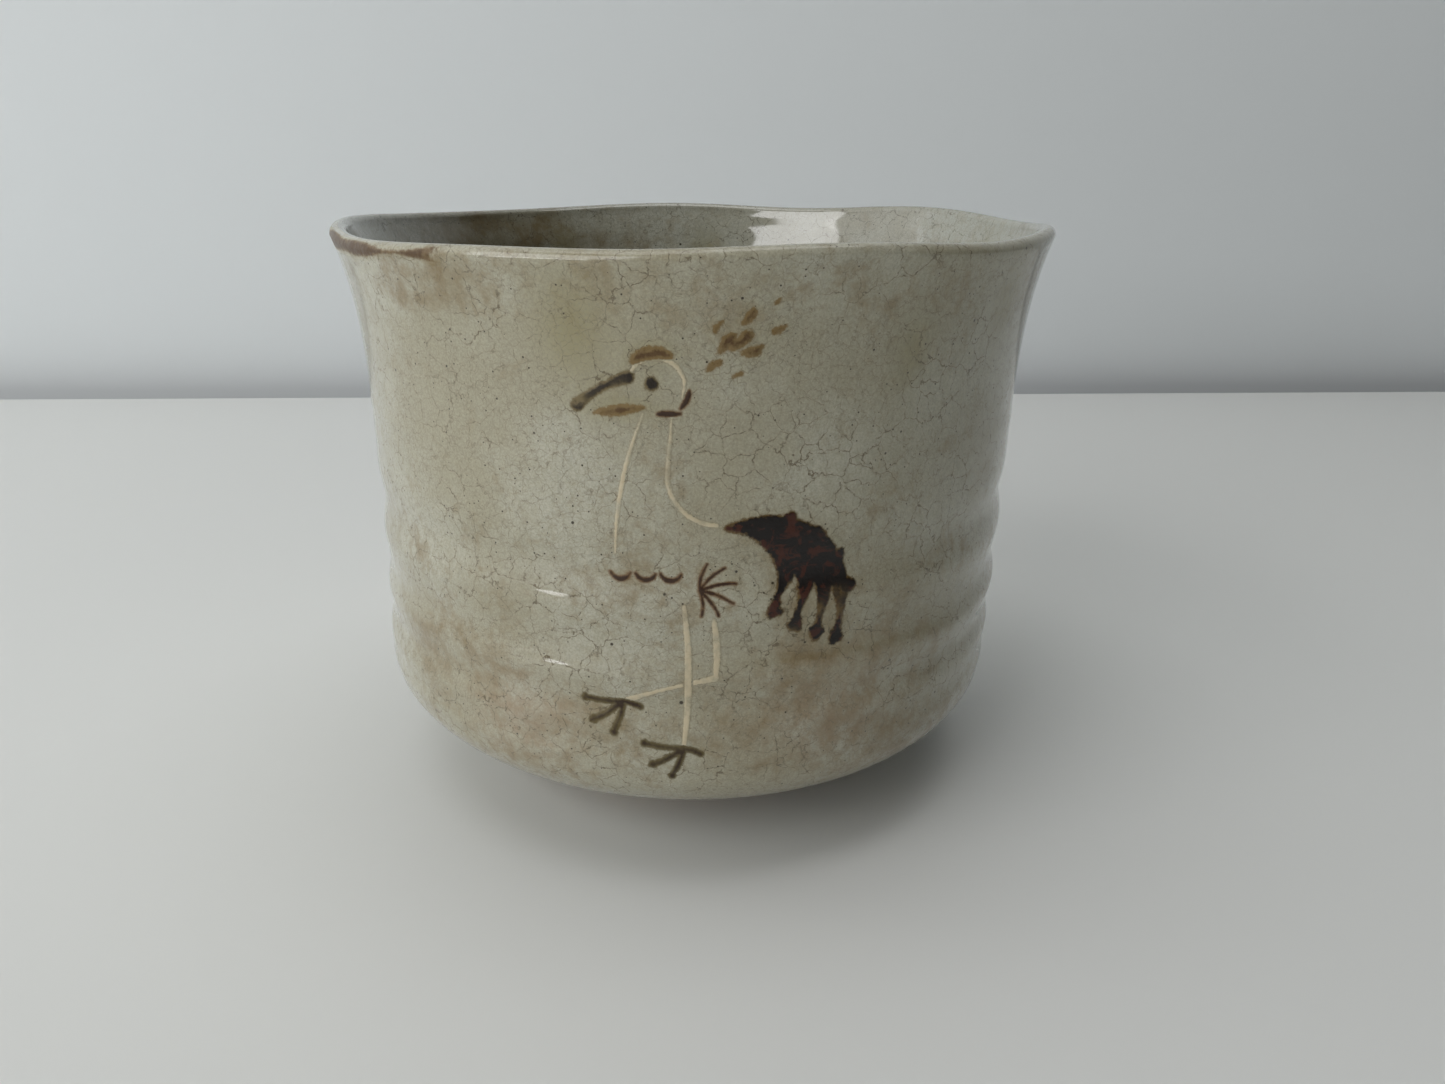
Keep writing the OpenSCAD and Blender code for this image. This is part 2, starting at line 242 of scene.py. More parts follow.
def over_node(tint, node, strength):
    """A soft spot that covers a painted node."""
    low, high = box_mm(node)
    s_low, s_high = WAIST_R * math.atan2(low[0], -low[1]), WAIST_R * math.atan2(high[0], -low[1])
    half_width, half_height = (s_high - s_low) / 2 + 1, (high[2] - low[2]) / 2 + 1
    return tint, (s_low + s_high) / 2, (low[2] + high[2]) / 2, half_width, half_height, strength


TINT_SPOTS = scattered(TINT_BANDS, TINT_SEED)
TINT_SPOTS += [over_node("olive", "beak_wash", 0.7), over_node("olive", "crown_patch", 0.5)]


def tint_layers(s, z):
    layers = {name: np.zeros_like(s) for name in TINTS}
    for name, s0, z0, ws, wz, strength in TINT_SPOTS:
        away = np.mod(s - s0 + WALL_TURN / 2, WALL_TURN) - WALL_TURN / 2
        layers[name] += strength * np.exp(-(away / ws) ** 2 - ((z - z0) / wz) ** 2)
    return {name: np.clip(v, 0, 1) for name, v in layers.items()}


def unrolled(points):
    """(distance round the wall from the middle of the front, height) of points in millimetres."""
    return WAIST_R * np.arctan2(points[:, 0], -points[:, 1]), points[:, 2]


# ---------------------------------------------------------------- meshes

SHARP = math.radians(62)


def mesh_from(name, points, faces, layers=None):
    mesh = bpy.data.meshes.new(name)
    mesh.from_pydata((points * MM).tolist(), [], faces)
    for layer, values in (layers or {}).items():
        data = mesh.attributes.new(layer, "FLOAT", "POINT").data
        data.foreach_set("value", np.asarray(values, dtype=np.float32))
    mesh.shade_smooth()
    mesh.set_sharp_from_angle(angle=SHARP)
    piece = bpy.data.objects.new(name, mesh)
    bpy.context.scene.collection.objects.link(piece)
    return piece


def grid_faces(rows, cols, closed_rows):
    i, j = np.meshgrid(np.arange(rows if closed_rows else rows - 1), np.arange(cols), indexing="ij")
    i2, j2 = (i + 1) % rows, (j + 1) % cols
    quads = np.stack([i * cols + j, i * cols + j2, i2 * cols + j2, i2 * cols + j], -1)
    return quads.reshape(-1, 4).tolist()


def revolved(name, rows, cols, place, poles=False):
    """A closed piece of revolution. rows is its section, walked with the clay on the left: round in a loop,
    or with poles, from the axis under the piece, out and over it, to the axis on top."""
    theta = np.linspace(0, TAU, cols, endpoint=False)
    points = place(theta[None, :], rows[:, :1], rows[:, 1:]).reshape(-1, 3)
    count = len(rows)
    faces = grid_faces(count, cols, not poles)
    if poles:
        for row, order in ((0, 1), (count - 1, -1)):
            ring = points[row * cols:(row + 1) * cols]
            points = np.concatenate([points, [[0, 0, ring[:, 2].mean()]]])
            tip = len(points) - 1
            for j in range(cols):
                edge = [row * cols + (j + 1) % cols, row * cols + j]
                faces.append(edge[::order] + [tip])
    return mesh_from(name, points, faces, tint_layers(*unrolled(points)))


def finish_piece(piece, node, material):
    piece.data.materials.append(material)
    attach(piece, "root")
    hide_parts(node)


# ---------------------------------------------------------------- materials

class Tree:
    """A short way to build a node tree."""

    def __init__(self, tree):
        self.tree = tree

    def node(self, kind, inputs=None, **settings):
        made = self.tree.nodes.new(kind)
        for key, value in settings.items():
            setattr(made, key, value)
        for key, value in (inputs or {}).items():
            self.feed(made.inputs[key], value)
        return made

    def feed(self, socket, value):
        if isinstance(value, bpy.types.NodeSocket):
            self.tree.links.new(value, socket)
        else:
            socket.default_value = value

    def math(self, operation, a, b=0.0, clamp=False):
        return self.node("ShaderNodeMath", {0: a, 1: b}, operation=operation, use_clamp=clamp).outputs[0]

    def ramp(self, value, low, high, out_low=0.0, out_high=1.0):
        """value from low to high, smoothly, gives out_low to out_high."""
        made = self.node("ShaderNodeMapRange", {"Value": value, "From Min": low, "From Max": high,
                                                "To Min": out_low, "To Max": out_high})
        made.interpolation_type = "SMOOTHSTEP"
        return made.outputs[0]

    def mix(self, factor, a, b, blend="MIX"):
        made = self.node("ShaderNodeMix", data_type="RGBA", blend_type=blend)
        self.feed(made.inputs["Factor"], factor)
        self.feed(made.inputs[6], a)
        self.feed(made.inputs[7], b)
        return made.outputs[2]

    def noise(self, where, scale, detail=3.0, rough=0.55, distortion=0.0):
        return self.node("ShaderNodeTexNoise", {"Vector": where, "Scale": scale, "Detail": detail,
                                                "Roughness": rough, "Distortion": distortion}).outputs[0]

    def voronoi(self, where, scale, feature="F1", randomness=1.0):
        return self.node("ShaderNodeTexVoronoi", {"Vector": where, "Scale": scale, "Randomness": randomness},
                         feature=feature)

    def stretched(self, where, factors):
        return self.node("ShaderNodeVectorMath", {0: where, 1: factors}, operation="MULTIPLY").outputs[0]

    def attribute(self, name):
        return self.node("ShaderNodeAttribute", attribute_name=name).outputs["Fac"]


def rgb(r, g, b):
    return (r, g, b, 1.0)


LIGHT_GLAZE = rgb(0.46, 0.445, 0.35)
WARM_GLAZE = rgb(0.37, 0.342, 0.24)
STAIN = rgb(0.215, 0.15, 0.06)
OLIVE = rgb(0.27, 0.235, 0.10)
PINK = rgb(0.50, 0.37, 0.28)
CRACK = rgb(0.15, 0.12, 0.07)
SPECK = rgb(0.045, 0.032, 0.016)


def add_specks(t, where, colour, scale, biggest, rarity):
    """Round iron specks, of sizes up to biggest cells, most of them tiny."""
    cell = t.voronoi(where, scale)
    chance = t.node("ShaderNodeSeparateColor", {0: cell.outputs["Color"]}).outputs[0]
    radius = t.math("MULTIPLY", t.math("POWER", chance, rarity), biggest)
    inside = t.math("SUBTRACT", radius, cell.outputs["Distance"])
    mask = t.ramp(inside, 0.0, biggest * 0.35)
    return t.mix(mask, colour, SPECK), mask


def glaze_group():
    """The glaze's colour, roughness and height at any point of the bowl, so that neighbours agree."""
    group = bpy.data.node_groups.new("glaze", "ShaderNodeTree")
    sockets = (("Color", "NodeSocketColor"), ("Roughness", "NodeSocketFloat"), ("Height", "NodeSocketFloat"))
    for name, kind in sockets:
        group.interface.new_socket(name, in_out="OUTPUT", socket_type=kind)
    t = Tree(group)
    place = t.node("ShaderNodeTexCoord").outputs["Object"]
    p = t.stretched(place, (1 / MM, 1 / MM, 1 / MM))
    level = t.stretched(p, (0.3, 0.3, 1.0))
    broad = t.noise(p, 0.05, 3)
    mottle = t.noise(p, 0.5, 6, 0.68)
    fine = t.noise(p, 3.5, 4, 0.65)
    colour = t.mix(t.ramp(broad, 0.35, 0.65), LIGHT_GLAZE, WARM_GLAZE)
    colour = t.mix(t.ramp(mottle, 0.38, 0.7, 0.0, 0.55), colour, WARM_GLAZE)
    shade = t.ramp(fine, 0.3, 0.7, 0.84, 1.12)
    grey = t.node("ShaderNodeCombineColor", {0: shade, 1: shade, 2: shade}).outputs[0]
    colour = t.mix(1.0, colour, grey, "MULTIPLY")
    # Stains gather in clouds with grainy edges, thickest where the wall's own stain layer is.
    clouds = t.math("MULTIPLY", t.noise(p, 0.13, 4, 0.6, 0.4), 0.62)
    cloud = t.math("ADD", clouds, t.math("MULTIPLY", mottle, 0.38))
    stain = t.math("ADD", cloud, t.math("MULTIPLY", t.attribute("stain"), 0.2))
    colour = t.mix(t.ramp(stain, 0.53, 0.84, 0.0, 0.88), colour, STAIN)
    colour = t.mix(t.math("MULTIPLY", t.attribute("olive"), t.ramp(fine, 0.3, 0.7, 0.4, 0.75)), colour, OLIVE)
    pink = t.math("MULTIPLY", t.attribute("pink"), t.ramp(mottle, 0.3, 0.7, 0.1, 0.6))
    colour = t.mix(pink, colour, PINK)
    # Crackle: two nets of hair cracks, each stronger in its own patches.
    wobble = t.node("ShaderNodeTexNoise", {"Vector": p, "Scale": 0.8, "Detail": 3.0}).outputs[1]
    wobbled = t.stretched(wobble, (1.6, 1.6, 1.6))
    bent = t.node("ShaderNodeVectorMath", {0: p, 1: wobbled}, operation="ADD").outputs[0]
    wide = t.ramp(t.voronoi(bent, 0.3, "DISTANCE_TO_EDGE").outputs["Distance"], 0.0, 0.032, 1.0, 0.0)
    close = t.ramp(t.voronoi(bent, 0.8, "DISTANCE_TO_EDGE").outputs["Distance"], 0.0, 0.06, 1.0, 0.0)
    patch = t.noise(p, 0.09, 3)
    crack = t.math("ADD", t.math("MULTIPLY", wide, t.ramp(patch, 0.4, 0.62, 0.22, 0.85)),
                   t.math("MULTIPLY", close, t.ramp(patch, 0.35, 0.6, 0.45, 0.15)), clamp=True)
    crack = t.math("MULTIPLY", crack, t.ramp(t.noise(p, 1.3, 2), 0.35, 0.6, 0.35, 1.25), clamp=True)
    colour = t.mix(crack, colour, CRACK)
    # Iron specks of three sizes, and short upright scratches.
    colour, big = add_specks(t, p, colour, 0.16, 0.085, 10)
    colour, middle = add_specks(t, p, colour, 0.42, 0.15, 5)
    colour = add_specks(t, p, colour, 1.4, 0.24, 3)[0]
    scratch = t.ramp(t.noise(t.stretched(p, (5.0, 5.0, 0.6)), 1.0, 2, 0.5), 0.72, 0.8, 0.0, 0.45)
    colour = t.mix(scratch, colour, CRACK)
    rough = t.math("ADD", t.ramp(mottle, 0.3, 0.7, 0.38, 0.5), t.math("MULTIPLY", crack, 0.1))
    height = t.math("ADD", t.noise(p, 0.45, 2), t.math("MULTIPLY", t.noise(p, 1.6, 3), 0.3))
    height = t.math("ADD", height, t.math("MULTIPLY", t.noise(level, 0.5, 2), 0.8))
    height = t.math("SUBTRACT", height, t.math("MULTIPLY", crack, 0.12))
    height = t.math("SUBTRACT", height, t.math("MULTIPLY", t.math("ADD", big, middle), 0.25))
    out = t.node("NodeGroupOutput")
    t.feed(out.inputs["Color"], colour)
    t.feed(out.inputs["Roughness"], rough)
    t.feed(out.inputs["Height"], height)
    return group


def new_material(name):
    material = bpy.data.materials.new(name)
    material.use_nodes = True
    t = Tree(material.node_tree)
    material.node_tree.nodes.clear()
    shader = t.node("ShaderNodeBsdfPrincipled")
    t.feed(t.node("ShaderNodeOutputMaterial").inputs["Surface"], shader.outputs[0])
    return material, t, shader


def surface(t, shader, colour, rough, height, bump_mm):
    t.feed(shader.inputs["Base Color"], colour)
    t.feed(shader.inputs["Roughness"], rough)
    bump = t.node("ShaderNodeBump", {"Height": height, "Strength": 1.0, "Distance": bump_mm * MM})
    t.feed(shader.inputs["Normal"], bump.outputs[0])


def glassy(shader, index=1.45, clear=1.0):
    """The clear skin of the glaze, over a softer base that gives it its satin sheen."""
    shader.inputs["Coat Weight"].default_value = clear
    shader.inputs["Coat Roughness"].default_value = 0.08
    shader.inputs["Coat IOR"].default_value = index
    shader.inputs["Specular IOR Level"].default_value = 0.3


GLAZE = glaze_group()
GLAZE_BUMP = 0.16
IRON_CLEAR = 0.3


def glaze_material(name, shade=None, index=1.45):
    material, t, shader = new_material(name)
    glaze = t.node("ShaderNodeGroup", node_tree=GLAZE).outputs
    colour = glaze["Color"] if shade is None else t.mix(1.0, glaze["Color"], shade, "MULTIPLY")
    surface(t, shader, colour, glaze["Roughness"], glaze["Height"], GLAZE_BUMP)
    glassy(shader, index)
    return material


def slip_material():
    """Cream slip under the glaze: pale in the middle of the line, with a fine furrow and worn gaps."""
    material, t, shader = new_material("cream_slip")
    glaze = t.node("ShaderNodeGroup", node_tree=GLAZE).outputs
    p = t.stretched(t.node("ShaderNodeTexCoord").outputs["Object"], (1 / MM, 1 / MM, 1 / MM))
    ragged = t.math("MULTIPLY", t.math("SUBTRACT", t.noise(p, 2.0, 4), 0.5), 0.4)
    ink = t.math("ADD", t.attribute("ink"), ragged)
    cream = t.mix(t.noise(p, 1.1, 3), rgb(0.66, 0.58, 0.40), rgb(0.56, 0.46, 0.29))
    worn = t.ramp(t.noise(p, 0.35, 4), 0.36, 0.55, 0.3, 0.9)
    edge = t.math("MULTIPLY", t.ramp(ink, -0.14, 0.0), t.ramp(ink, 0.0, 0.14, 1.0, 0.0))
    colour = t.mix(t.math("MULTIPLY", edge, 0.3), glaze["Color"], rgb(0.25, 0.19, 0.10))
    colour = t.mix(t.math("MULTIPLY", t.ramp(ink, 0.02, 0.2), worn), colour, cream)
    surface(t, shader, colour, glaze["Roughness"], glaze["Height"], GLAZE_BUMP)
    glassy(shader)
    return material


def iron_material(name, thin, dark, dark_from, dark_to, grain, cover=1.0, rust=0.0):
    """Iron oxide: an amber stain at the stroke's edge that turns dark brown where the paint is thick.
    dark_from and dark_to are how far inside the stroke that happens, in millimetres. cover is how dense the
    thick paint is, and rust its share of red patches."""
    material, t, shader = new_material(name)
    glaze = t.node("ShaderNodeGroup", node_tree=GLAZE).outputs
    p = t.stretched(t.node("ShaderNodeTexCoord").outputs["Object"], (1 / MM, 1 / MM, 1 / MM))
    ragged = t.math("MULTIPLY", t.math("SUBTRACT", t.noise(p, 1.3, 7, 0.72), 0.5), grain)
    ink = t.math("ADD", t.attribute("ink"), ragged)
    stain = t.ramp(ink, -0.3, 0.1, 0.0, 0.92)
    colour = t.mix(stain, glaze["Color"], thin)
    pools = t.math("ADD", ink, t.math("MULTIPLY", t.math("SUBTRACT", t.noise(p, 0.8, 3), 0.5), grain))
    deep = t.ramp(pools, dark_from, dark_to, 0.0, cover)
    spared = t.math("MULTIPLY", t.attribute("thin"), t.ramp(t.noise(p, 1.0, 4, 0.6), 0.36, 0.56, 0.35, 1.0))
    deep = t.math("MULTIPLY", deep, t.math("SUBTRACT", 1.0, spared))
    paint = dark
    if rust:
        patches = t.ramp(t.noise(p, 0.45, 5, 0.62, 0.8), 0.5, 0.6, 0.0, rust)
        paint = t.mix(patches, dark, rgb(0.06, 0.012, 0.003))
    colour = t.mix(deep, colour, paint)
    crust = t.math("MULTIPLY", t.math("MULTIPLY", t.noise(p, 2.2, 3), deep), 0.4)
    height = t.math("ADD", glaze["Height"], crust)
    surface(t, shader, colour, glaze["Roughness"], height, GLAZE_BUMP)
    glassy(shader, clear=IRON_CLEAR)
    return material


def clay_material():
    """Bare fired stoneware: buff brown, gritty and matt, with turned rings and darker iron grit."""
    material, t, shader = new_material("bare_clay")
    p = t.stretched(t.node("ShaderNodeTexCoord").outputs["Object"], (1 / MM, 1 / MM, 1 / MM))
    colour = t.mix(t.ramp(t.noise(p, 0.12, 5), 0.35, 0.65), rgb(0.40, 0.29, 0.18), rgb(0.29, 0.19, 0.11))
    colour = t.mix(t.ramp(t.noise(p, 2.2, 4), 0.5, 0.75, 0.0, 0.5), colour, rgb(0.47, 0.37, 0.25))
    colour = add_specks(t, p, colour, 0.9, 0.2, 3)[0]
    apart = t.node("ShaderNodeSeparateXYZ", {0: p}).outputs
    radius = t.math("SQRT", t.math("ADD", t.math("POWER", apart[0], 2.0), t.math("POWER", apart[1], 2.0)))
    wander = t.math("MULTIPLY", t.noise(p, 0.15), 5.0)
    rings = t.math("SINE", t.math("ADD", t.math("MULTIPLY", radius, 4.5), wander))
    height = t.math("ADD", t.math("MULTIPLY", rings, 0.25), t.noise(p, 3.0, 4))
    surface(t, shader, colour, t.ramp(t.noise(p, 0.8), 0.3, 0.7, 0.72, 0.9), height, 0.25)
    return material


# ---------------------------------------------------------------- the bowl's own pieces

COLUMNS = 400
outer_rows = outer_profile()
inner_rows = inner_profile()


def wavy_foot_edge(theta, r, z):
    """The outer coat. Its edge by the foot runs in and out along the belly, as a dipped edge does."""
    around = np.arctan2((r - ROOT_R) / (WAIST_R - ROOT_R), (BELLY_Z - z) / (BELLY_Z - ROOT_Z))
    tangent_r = (WAIST_R - ROOT_R) * np.cos(around)
    tangent_z = (BELLY_Z - ROOT_Z) * np.sin(around)
    length = np.hypot(tangent_r, tangent_z)
    runs = 0.7 * np.cos(3 * theta + 1) + 0.4 * np.cos(7 * theta) + 0.25 * np.cos(13 * theta + 2)
    slide = smooth(10, ROOT_Z, z) * runs
    return thrown(theta, r + slide * tangent_r / length, z + slide * tangent_z / length)


def plain_inside(theta, r, z):
    """The inner face has faint finger rings of its own."""
    faded = smooth(FLOOR_Z + 8, FLOOR_Z + 25, z) * smooth(LIP_Z, LIP_Z - 6, z)
    rings = 0.09 * np.sin(z * 0.9 + theta) * faded
    return thrown(theta, r + rings, z, grooved=0.0)


def make_outer_glaze():
    face = np.concatenate([outer_rows, lip_arc(0, 0, 90)[1:]])
    back = np.concatenate([offset(outer_rows, GLAZE_T)[::5], lip_arc(GLAZE_T, 10, 90)])[::-1]
    return revolved("outer_glaze_coat", np.concatenate([face, back]), COLUMNS, wavy_foot_edge)


def make_inner_glaze():
    back = np.concatenate([lip_arc(GLAZE_T, 90, 170), offset(inner_rows, GLAZE_T)[2::4]])
    face = np.concatenate([lip_arc(0, 90, 180)[:-1], inner_rows])
    return revolved("inner_glaze_coat", np.concatenate([back[::-1], face]), COLUMNS, plain_inside, poles=True)


def make_clay_body():
    """The clay lies a hair under the glaze, so the two never touch."""
    depth = GLAZE_T + 0.02
    r = np.linspace(1.0, ROOT_R + 3, 60)
    under = np.stack([r, ROOT_Z - 0.02 + 0.25 * smooth(20, 4, r) + 0.06 * np.sin(2.4 * r)], -1)
    outside = offset(outer_rows, depth)[::3]
    inside = offset(inner_rows, depth)[2::4]
    rows = np.concatenate([under, outside, lip_arc(depth, 15, 165, 9), inside])
    return revolved("thrown_clay", rows, 240, thrown, poles=True)


INNER_INDEX = 1.9
clay = clay_material()
finish_piece(make_outer_glaze(), "outer_glaze", glaze_material("outer_glaze"))
# The inner coat is the same glaze multiplied darker and cooler: partly the glaze's own greyer tone, partly
# painted shade for the dim inside of the bowl.
inner_glaze = glaze_material("inner_glaze", rgb(0.74, 0.77, 0.80), INNER_INDEX)
finish_piece(make_inner_glaze(), "inner_glaze", inner_glaze)
finish_piece(make_clay_body(), "clay_body", clay)


def make_foot_ring():
    """The turned foot: a flat that is a little worn, fine tool rings, and a softly uneven edge."""
    inner_r = ROOT_R - 1.2 - 4.0
    outside = np.stack([np.linspace(ROOT_R, ROOT_R - 1.2, 20), np.linspace(ROOT_Z, 0.8, 20)], -1)
    outside[:, 0] += 0.07 * np.sin(outside[:, 1] * 5.5)
    toe = arc((ROOT_R - 2.0, 0.8), 0.8, 0, -90, 7)[1:]
    heel = arc((inner_r + 0.8, 0.8), 0.8, -90, -180, 7)
    inside = np.stack([np.linspace(inner_r, inner_r - 1.2, 16), np.linspace(0.8, ROOT_Z, 16)], -1)[1:]
    rows = np.concatenate([outside, toe, heel, inside])[::-1]

    def turned(theta, r, z):
        dr = 0.12 * np.cos(2 * theta) + 0.1 * np.cos(5 * theta + 1) + 0.06 * np.cos(11 * theta)
        return np.stack([(r + dr) * np.cos(theta), (r + dr) * np.sin(theta), z + 0 * theta], -1)

    return revolved("turned_foot", rows, 300, turned)


finish_piece(make_foot_ring(), "foot_ring", clay)


# ---------------------------------------------------------------- painted lines

def footprint(node):
    """Boundary segments, unrolled, of a film that lies on the wall: (n, 2 ends, 2)."""
    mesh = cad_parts[node].data
    points = np.array([v.co for v in mesh.vertices]) / MM
    keys = [tuple(k) for k in np.round(points, 3)]
    edges = {}
    for face in mesh.polygons:
        middle = np.array(face.center)
        radial = middle[:2] / np.linalg.norm(middle[:2])
        if np.dot(np.array(face.normal)[:2], radial) < 0.8:
            continue
        ring = list(face.vertices)
        for a, b in zip(ring, ring[1:] + ring[:1]):
            key = frozenset((keys[a], keys[b]))
            edges.setdefault(key, []).append((a, b))
    ends = [pairs[0] for pairs in edges.values() if len(pairs) == 1]
    s, z = unrolled(points)
    flat = np.stack([s, z], -1)
    return flat[np.array(ends)]


def inside_depth(segments, s, z):
    """How far each point is inside the outline, in millimetres; negative outside."""
    depth = np.full(s.shape, 1e9)
    odd = np.zeros(s.shape, dtype=bool)
    for (s0, z0), (s1, z1) in segments:
        ds, dz = s1 - s0, z1 - z0
        length2 = ds * ds + dz * dz + 1e-12
        t = np.clip(((s - s0) * ds + (z - z0) * dz) / length2, 0, 1)
        depth = np.minimum(depth, np.hypot(s - s0 - t * ds, z - z0 - t * dz))
        if z0 != z1:
            crosses = (z0 > z) != (z1 > z)
            odd ^= crosses & (s < s0 + (z - z0) * ds / (z1 - z0 + 1e-12))
    return np.where(odd, depth, -depth)


def on_wall(s, z, lift):
    """Points on the thrown wall at (s, z), raised by lift. Below the belly's turn the wall curves in."""
    theta = s / WAIST_R - TAU / 4
    sink = np.clip((BELLY_Z - z) / (BELLY_Z - ROOT_Z), 0, 1)
    r = np.where(z < BELLY_Z, ROOT_R + (WAIST_R - ROOT_R) * np.sqrt(1 - sink ** 2), wall_radius(z))
    return thrown(theta, r + lift, z)


STEP = 0.14
HALO = 0.9
SUNK = 0.05
FAR_OUTSIDE = -9.0
PROUD = 0.02


def cell_means(field):
    return (field[:-1, :-1] + field[1:, :-1] + field[1:, 1:] + field[:-1, 1:]) / 4


def film_piece(name, surface_at, ink, cell, across, up, height, extra=None):
    """A closed film over chosen cells of a grid. surface_at(across, up, lift) gives points on the bowl,
    and ink is how deep inside the stroke each grid point is, in millimetres."""
    used = np.zeros(ink.shape, dtype=bool)
    for di in (0, 1):
        for dj in (0, 1):
            used[di:di + cell.shape[0], dj:dj + cell.shape[1]] |= cell
    index = -np.ones(ink.shape, dtype=int)
    index[used] = np.arange(used.sum())
    a_used, u_used, ink_used = across[used], up[used], ink[used]
    top = surface_at(a_used, u_used, PROUD + height * smooth(-0.05, 0.3, ink_used))
    points = np.concatenate([top, surface_at(a_used, u_used, -SUNK)])
    count = len(top)
    i, j = np.nonzero(cell)
    a, b, c, d = index[i, j], index[i + 1, j], index[i + 1, j + 1], index[i, j + 1]
    upper = np.stack([a, b, c, d], -1)
    # A wall stands on each side of a cell that has no neighbour there.
    padded = np.pad(cell, 1)
    walls = []
    for (di, dj), (p, q) in (((-1, 0), (d, a)), ((1, 0), (b, c)), ((0, -1), (a, b)), ((0, 1), (c, d))):
        bare = ~padded[i + 1 + di, j + 1 + dj]
        walls.append(np.stack([q[bare], p[bare], p[bare] + count, q[bare] + count], -1))
    faces = np.concatenate([upper, upper[:, ::-1] + count, *walls]).tolist()
    layers = tint_layers(*unrolled(points))
    layers["ink"] = np.concatenate([ink_used, ink_used])
    for layer, values in (extra or {}).items():
        layers[layer] = np.concatenate([values[used], values[used]])
    return mesh_from(name, points, faces, layers)


def depths_of(outlines):
    """For each node, how deep inside its stroke every point of the lattice is; far outside is FAR_OUTSIDE."""
    fields = {}
    for node, segments in outlines.items():
        low = segments.reshape(-1, 2).min(0) - HALO
        high = segments.reshape(-1, 2).max(0) + HALO
        i = slice(*np.searchsorted(lattice_s, [low[0], high[0]]))
        j = slice(*np.searchsorted(lattice_z, [low[1], high[1]]))
        s, z = np.meshgrid(lattice_s[i], lattice_z[j], indexing="ij")
        field = np.full((len(lattice_s), len(lattice_z)), FAR_OUTSIDE)
        field[i, j] = inside_depth(segments, s, z)
        fields[node] = field
    return fields


slip = slip_material()
BLACK_IRON = rgb(0.012, 0.006, 0.002)
stroke_iron = iron_material("stroke_iron", rgb(0.16, 0.115, 0.045), BLACK_IRON,
                            -0.05, 0.35, 0.7, 0.97)
hair_iron = iron_material("hair_iron", rgb(0.17, 0.085, 0.03), rgb(0.03, 0.011, 0.004),
                          -0.05, 0.2, 0.45, 0.92)
toe_iron = iron_material("toe_iron", rgb(0.105, 0.075, 0.02), rgb(0.028, 0.012, 0.003),
                         0.0, 0.45, 0.6, 0.95)
wash_iron = iron_material("wash_iron", rgb(0.20, 0.125, 0.038), rgb(0.08, 0.036, 0.008),
                          0.15, 0.7, 1.2, 0.85)
rim_iron = iron_material("rim_iron", rgb(0.17, 0.105, 0.04), rgb(0.085, 0.043, 0.013),
                         -0.1, 0.4, 1.0, 0.95)
plume_iron = iron_material("plume_iron", rgb(0.12, 0.068, 0.014), rgb(0.005, 0.002, 0.001),
                           -0.1, 0.3, 1.1, 1.0, 0.9)

# Spots where the paint is thin and its middle stays pale, scattered over these nodes.
THIN_NODES = ("beak_stroke", "raised_foot", "standing_foot", "tail_plumes")
THIN_PER_NODE = 4
THIN_SEED = 3


def thin_spots(outlines):
    """(distance round the wall, height, half width, half height) of each spot."""
    chance = np.random.default_rng(THIN_SEED)
    spots = []
    for node in THIN_NODES:
        corners = outlines[node].reshape(-1, 2)
        for place in chance.uniform(corners.min(0), corners.max(0), (THIN_PER_NODE, 2)):
            spots.append((*place, chance.uniform(0.7, 1.5), chance.uniform(0.5, 1.3)))
    return spots


def thin_layer(spots, s, z):
    spared = sum(np.exp(-((s - s0) / ws) ** 2 - ((z - z0) / wz) ** 2) for s0, z0, ws, wz in spots)
    return np.clip(1.2 * spared, 0, 1)


SLIP_H = 0.06
IRON_H = 0.03
TAIL_H = 0.07
# Each painted node: (node, slot, material, height above the glaze).
PAINTED = [(node, "cream_slip", slip, SLIP_H) for node in
           ("head_outline", "neck_front_line", "neck_back_line", "standing_leg_line", "bent_leg_line")]
PAINTED += [(node, "dark_iron", iron, IRON_H) for node, iron in
            (("beak_stroke", stroke_iron), ("eye_dot", stroke_iron), ("nape_stroke", hair_iron),
             ("breast_stroke", hair_iron), ("thigh_stroke", hair_iron), ("raised_foot", toe_iron),
             ("standing_foot", toe_iron))]
PAINTED += [(node, "iron_wash", wash_iron, IRON_H) for node in ("beak_wash", "crown_patch", "cloud_marks")]
PAINTED += [("tail_plumes", "dark_iron", plume_iron, TAIL_H)]

# The lattice covers every painted node. A cell belongs to the stroke that it is deepest in, so films that
# meet share an edge.
outlines = {row[0]: footprint(row[0]) for row in PAINTED}
outline_points = np.concatenate([outline.reshape(-1, 2) for outline in outlines.values()])
margin = HALO + 3 * STEP
lattice_low, lattice_high = outline_points.min(0) - margin, outline_points.max(0) + margin
lattice_s = np.arange(lattice_low[0], lattice_high[0], STEP)
lattice_z = np.arange(lattice_low[1], lattice_high[1], STEP)
fields = depths_of(outlines)
cell_depths = np.stack([cell_means(fields[row[0]]) for row in PAINTED])
deepest = np.argmax(cell_depths, 0)
grid_s, grid_z = np.meshgrid(lattice_s, lattice_z, indexing="ij")
thin = thin_layer(thin_spots(outlines), grid_s, grid_z)
for order, (node, slot, material, height) in enumerate(PAINTED):
    owned = (deepest == order) & (cell_depths[order] > -HALO)
    film = film_piece(node + "_film", on_wall, fields[node], owned, grid_s, grid_z, height,
                      {"thin": thin})
    finish_piece(film, node, material)


# How far the lip line thins out past its two ends.
LINE_TAIL = math.radians(8)
LINE_HEAD = math.radians(2)


